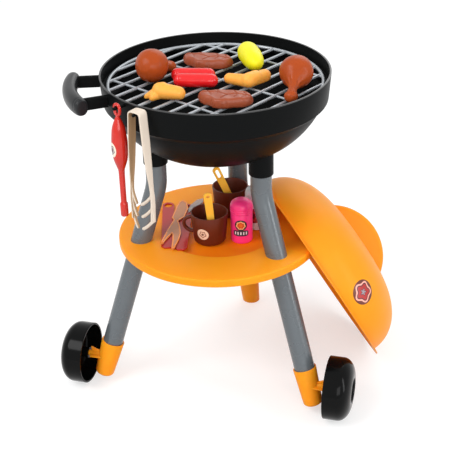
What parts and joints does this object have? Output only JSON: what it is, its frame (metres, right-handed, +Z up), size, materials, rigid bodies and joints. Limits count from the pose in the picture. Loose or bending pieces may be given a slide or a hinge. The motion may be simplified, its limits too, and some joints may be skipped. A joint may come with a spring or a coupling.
{
  "type": "toy barbecue grill",
  "caption": "Toy kettle barbecue on three bent legs with two wheels, a shelf, a leaning lid, a grate with play food, hanging tools and small tableware.",
  "frame": {"origin": "on the floor under the middle of the object's bounding box", "axes": "+Z up, +X along the wheel axle from the left wheel to the right wheel, -Y towards the user's side"},
  "size_m": [0.5092, 0.4232, 0.5505],
  "materials": {
    "black": "satin moulded black",
    "gloss_black": "glossy moulded black",
    "grey": "satin grey tube",
    "orange": "satin orange moulding",
    "steel": "plated screw",
    "grate_grey": "silver grey moulding",
    "cooked_brown": "moulded play food",
    "sausage_red": "glossy play food",
    "crisp_yellow": "moulded play food",
    "corn_yellow": "finely bumpy play food",
    "tool_red": "glossy red",
    "beige": "satin beige",
    "dark_brown": "satin dark brown",
    "cutlery_yellow": "satin yellow",
    "hot_pink": "glossy pink",
    "white": "glossy white",
    "utensil_red": "glossy red",
    "amber": "translucent amber",
    "smoke": "clear plastic"
  },
  "bodies": {
    "grill": {"axle_screw_left": "steel", "axle_screw_right": "steel", "bowl": "black", "foot_left": "orange", "foot_rear": "orange", "foot_right": "orange", "handle_arm_back": "black", "handle_arm_front": "black", "handle_grip": "black", "leg_left": "grey", "leg_rear": "grey", "leg_right": "grey", "leg_screw_left": "steel", "leg_screw_rear": "steel", "leg_screw_right": "steel", "leg_socket_left": "black", "leg_socket_rear": "black", "leg_socket_right": "black", "peg_tongs": "black", "peg_turner": "black", "shelf": "orange"},
    "wheel_left_body": {"wheel_left": "gloss_black"},
    "wheel_right_body": {"wheel_right": "gloss_black"},
    "grate_body": {"grate": "grate_grey"},
    "drumstick_left_body": {"drumstick_left": "cooked_brown"},
    "drumstick_right_body": {"drumstick_right": "cooked_brown"},
    "steak_back_body": {"steak_back": "cooked_brown"},
    "steak_front_body": {"steak_front": "cooked_brown"},
    "sausage_back_body": {"sausage_back": "sausage_red"},
    "sausage_front_body": {"sausage_front": "sausage_red"},
    "corn_body": {"corn": "corn_yellow"},
    "wing_left_body": {"wing_left": "crisp_yellow"},
    "wing_right_body": {"wing_right": "crisp_yellow"},
    "lid_body": {"lid": "orange"},
    "turner_body": {"turner": "tool_red"},
    "tongs_body": {"tongs": "beige"},
    "mug_front_body": {"mug_front": "dark_brown"},
    "mug_back_body": {"mug_back": "dark_brown"},
    "cutlery_front_body": {"cutlery_front": "cutlery_yellow"},
    "cutlery_back_body": {"cutlery_back": "cutlery_yellow"},
    "sauce_bottle_body": {"sauce_bottle": "hot_pink", "sauce_bottle_cap": "hot_pink"},
    "shaker_body": {"shaker": "white", "shaker_cap": "white"},
    "red_utensil_outer_body": {"red_utensil_outer": "utensil_red"},
    "fork_body": {"fork": "amber"},
    "red_utensil_inner_body": {"red_utensil_inner": "utensil_red"},
    "clear_utensil_body": {"clear_utensil": "smoke"}
  },
  "joints": [
    {"name": "wheel_left_spin", "type": "hinge", "parent": "grill", "child": "wheel_left_body", "pos_m": [-0.21362, -0.12883, 0.0492], "axis": [1, 0, 0], "continuous": true},
    {"name": "wheel_right_spin", "type": "hinge", "parent": "grill", "child": "wheel_right_body", "pos_m": [0.17638, -0.12883, 0.0492], "axis": [1, 0, 0], "continuous": true},
    {"name": "grate_lift", "type": "slide", "parent": "grill", "child": "grate_body", "axis": [0, 0, 1], "range_m": [0, 0.06]},
    {"name": "drumstick_left_lift", "type": "slide", "parent": "grate_body", "child": "drumstick_left_body", "axis": [0, 0, 1], "range_m": [0, 0.06]},
    {"name": "drumstick_right_lift", "type": "slide", "parent": "grate_body", "child": "drumstick_right_body", "axis": [0, 0, 1], "range_m": [0, 0.06]},
    {"name": "steak_back_lift", "type": "slide", "parent": "grate_body", "child": "steak_back_body", "axis": [0, 0, 1], "range_m": [0, 0.06]},
    {"name": "steak_front_lift", "type": "slide", "parent": "grate_body", "child": "steak_front_body", "axis": [0, 0, 1], "range_m": [0, 0.06]},
    {"name": "sausage_back_lift", "type": "slide", "parent": "grate_body", "child": "sausage_back_body", "axis": [0, 0, 1], "range_m": [0, 0.06]},
    {"name": "sausage_front_lift", "type": "slide", "parent": "grate_body", "child": "sausage_front_body", "axis": [0, 0, 1], "range_m": [0, 0.06]},
    {"name": "corn_lift", "type": "slide", "parent": "grate_body", "child": "corn_body", "axis": [0, 0, 1], "range_m": [0, 0.06]},
    {"name": "wing_left_lift", "type": "slide", "parent": "grate_body", "child": "wing_left_body", "axis": [0, 0, 1], "range_m": [0, 0.06]},
    {"name": "wing_right_lift", "type": "slide", "parent": "grate_body", "child": "wing_right_body", "axis": [0, 0, 1], "range_m": [0, 0.06]},
    {"name": "lid_away", "type": "slide", "parent": "grill", "child": "lid_body", "axis": [0.7436, 0.4557, 0.4894], "range_m": [0, 0.18]},
    {"name": "turner_off_peg", "type": "slide", "parent": "grill", "child": "turner_body", "axis": [-0.5174, -0.8443, 0.1392], "range_m": [0, 0.06]},
    {"name": "tongs_off_peg", "type": "slide", "parent": "grill", "child": "tongs_body", "axis": [-0.3345, -0.9192, 0.2079], "range_m": [0, 0.06]},
    {"name": "mug_front_out", "type": "slide", "parent": "grill", "child": "mug_front_body", "axis": [0, -0.9397, 0.342], "range_m": [0, 0.16]},
    {"name": "mug_back_out", "type": "slide", "parent": "grill", "child": "mug_back_body", "axis": [-0.9063, 0, 0.4226], "range_m": [0, 0.15]},
    {"name": "cutlery_front_out", "type": "slide", "parent": "mug_front_body", "child": "cutlery_front_body", "axis": [-0.0306, -0.1888, 0.9815], "range_m": [0, 0.04]},
    {"name": "cutlery_back_out", "type": "slide", "parent": "mug_back_body", "child": "cutlery_back_body", "axis": [-0.2783, -0.2914, 0.9152], "range_m": [0, 0.035]},
    {"name": "sauce_bottle_out", "type": "slide", "parent": "grill", "child": "sauce_bottle_body", "axis": [0.25, -0.933, 0.2588], "range_m": [0, 0.16]},
    {"name": "shaker_lift", "type": "slide", "parent": "grill", "child": "shaker_body", "axis": [0, 0, 1], "range_m": [0, 0.06]},
    {"name": "red_utensil_outer_out", "type": "slide", "parent": "grill", "child": "red_utensil_outer_body", "axis": [0.2974, -0.9548, 0], "range_m": [0, 0.23]},
    {"name": "fork_out", "type": "slide", "parent": "grill", "child": "fork_body", "axis": [-0.1462, 0.4782, 0.866], "range_m": [0, 0.04]},
    {"name": "red_utensil_inner_out", "type": "slide", "parent": "grill", "child": "red_utensil_inner_body", "axis": [0.2974, -0.9548, 0], "range_m": [0, 0.23]},
    {"name": "clear_utensil_lift", "type": "slide", "parent": "grill", "child": "clear_utensil_body", "axis": [0, 0, 1], "range_m": [0, 0.04]}
  ]
}
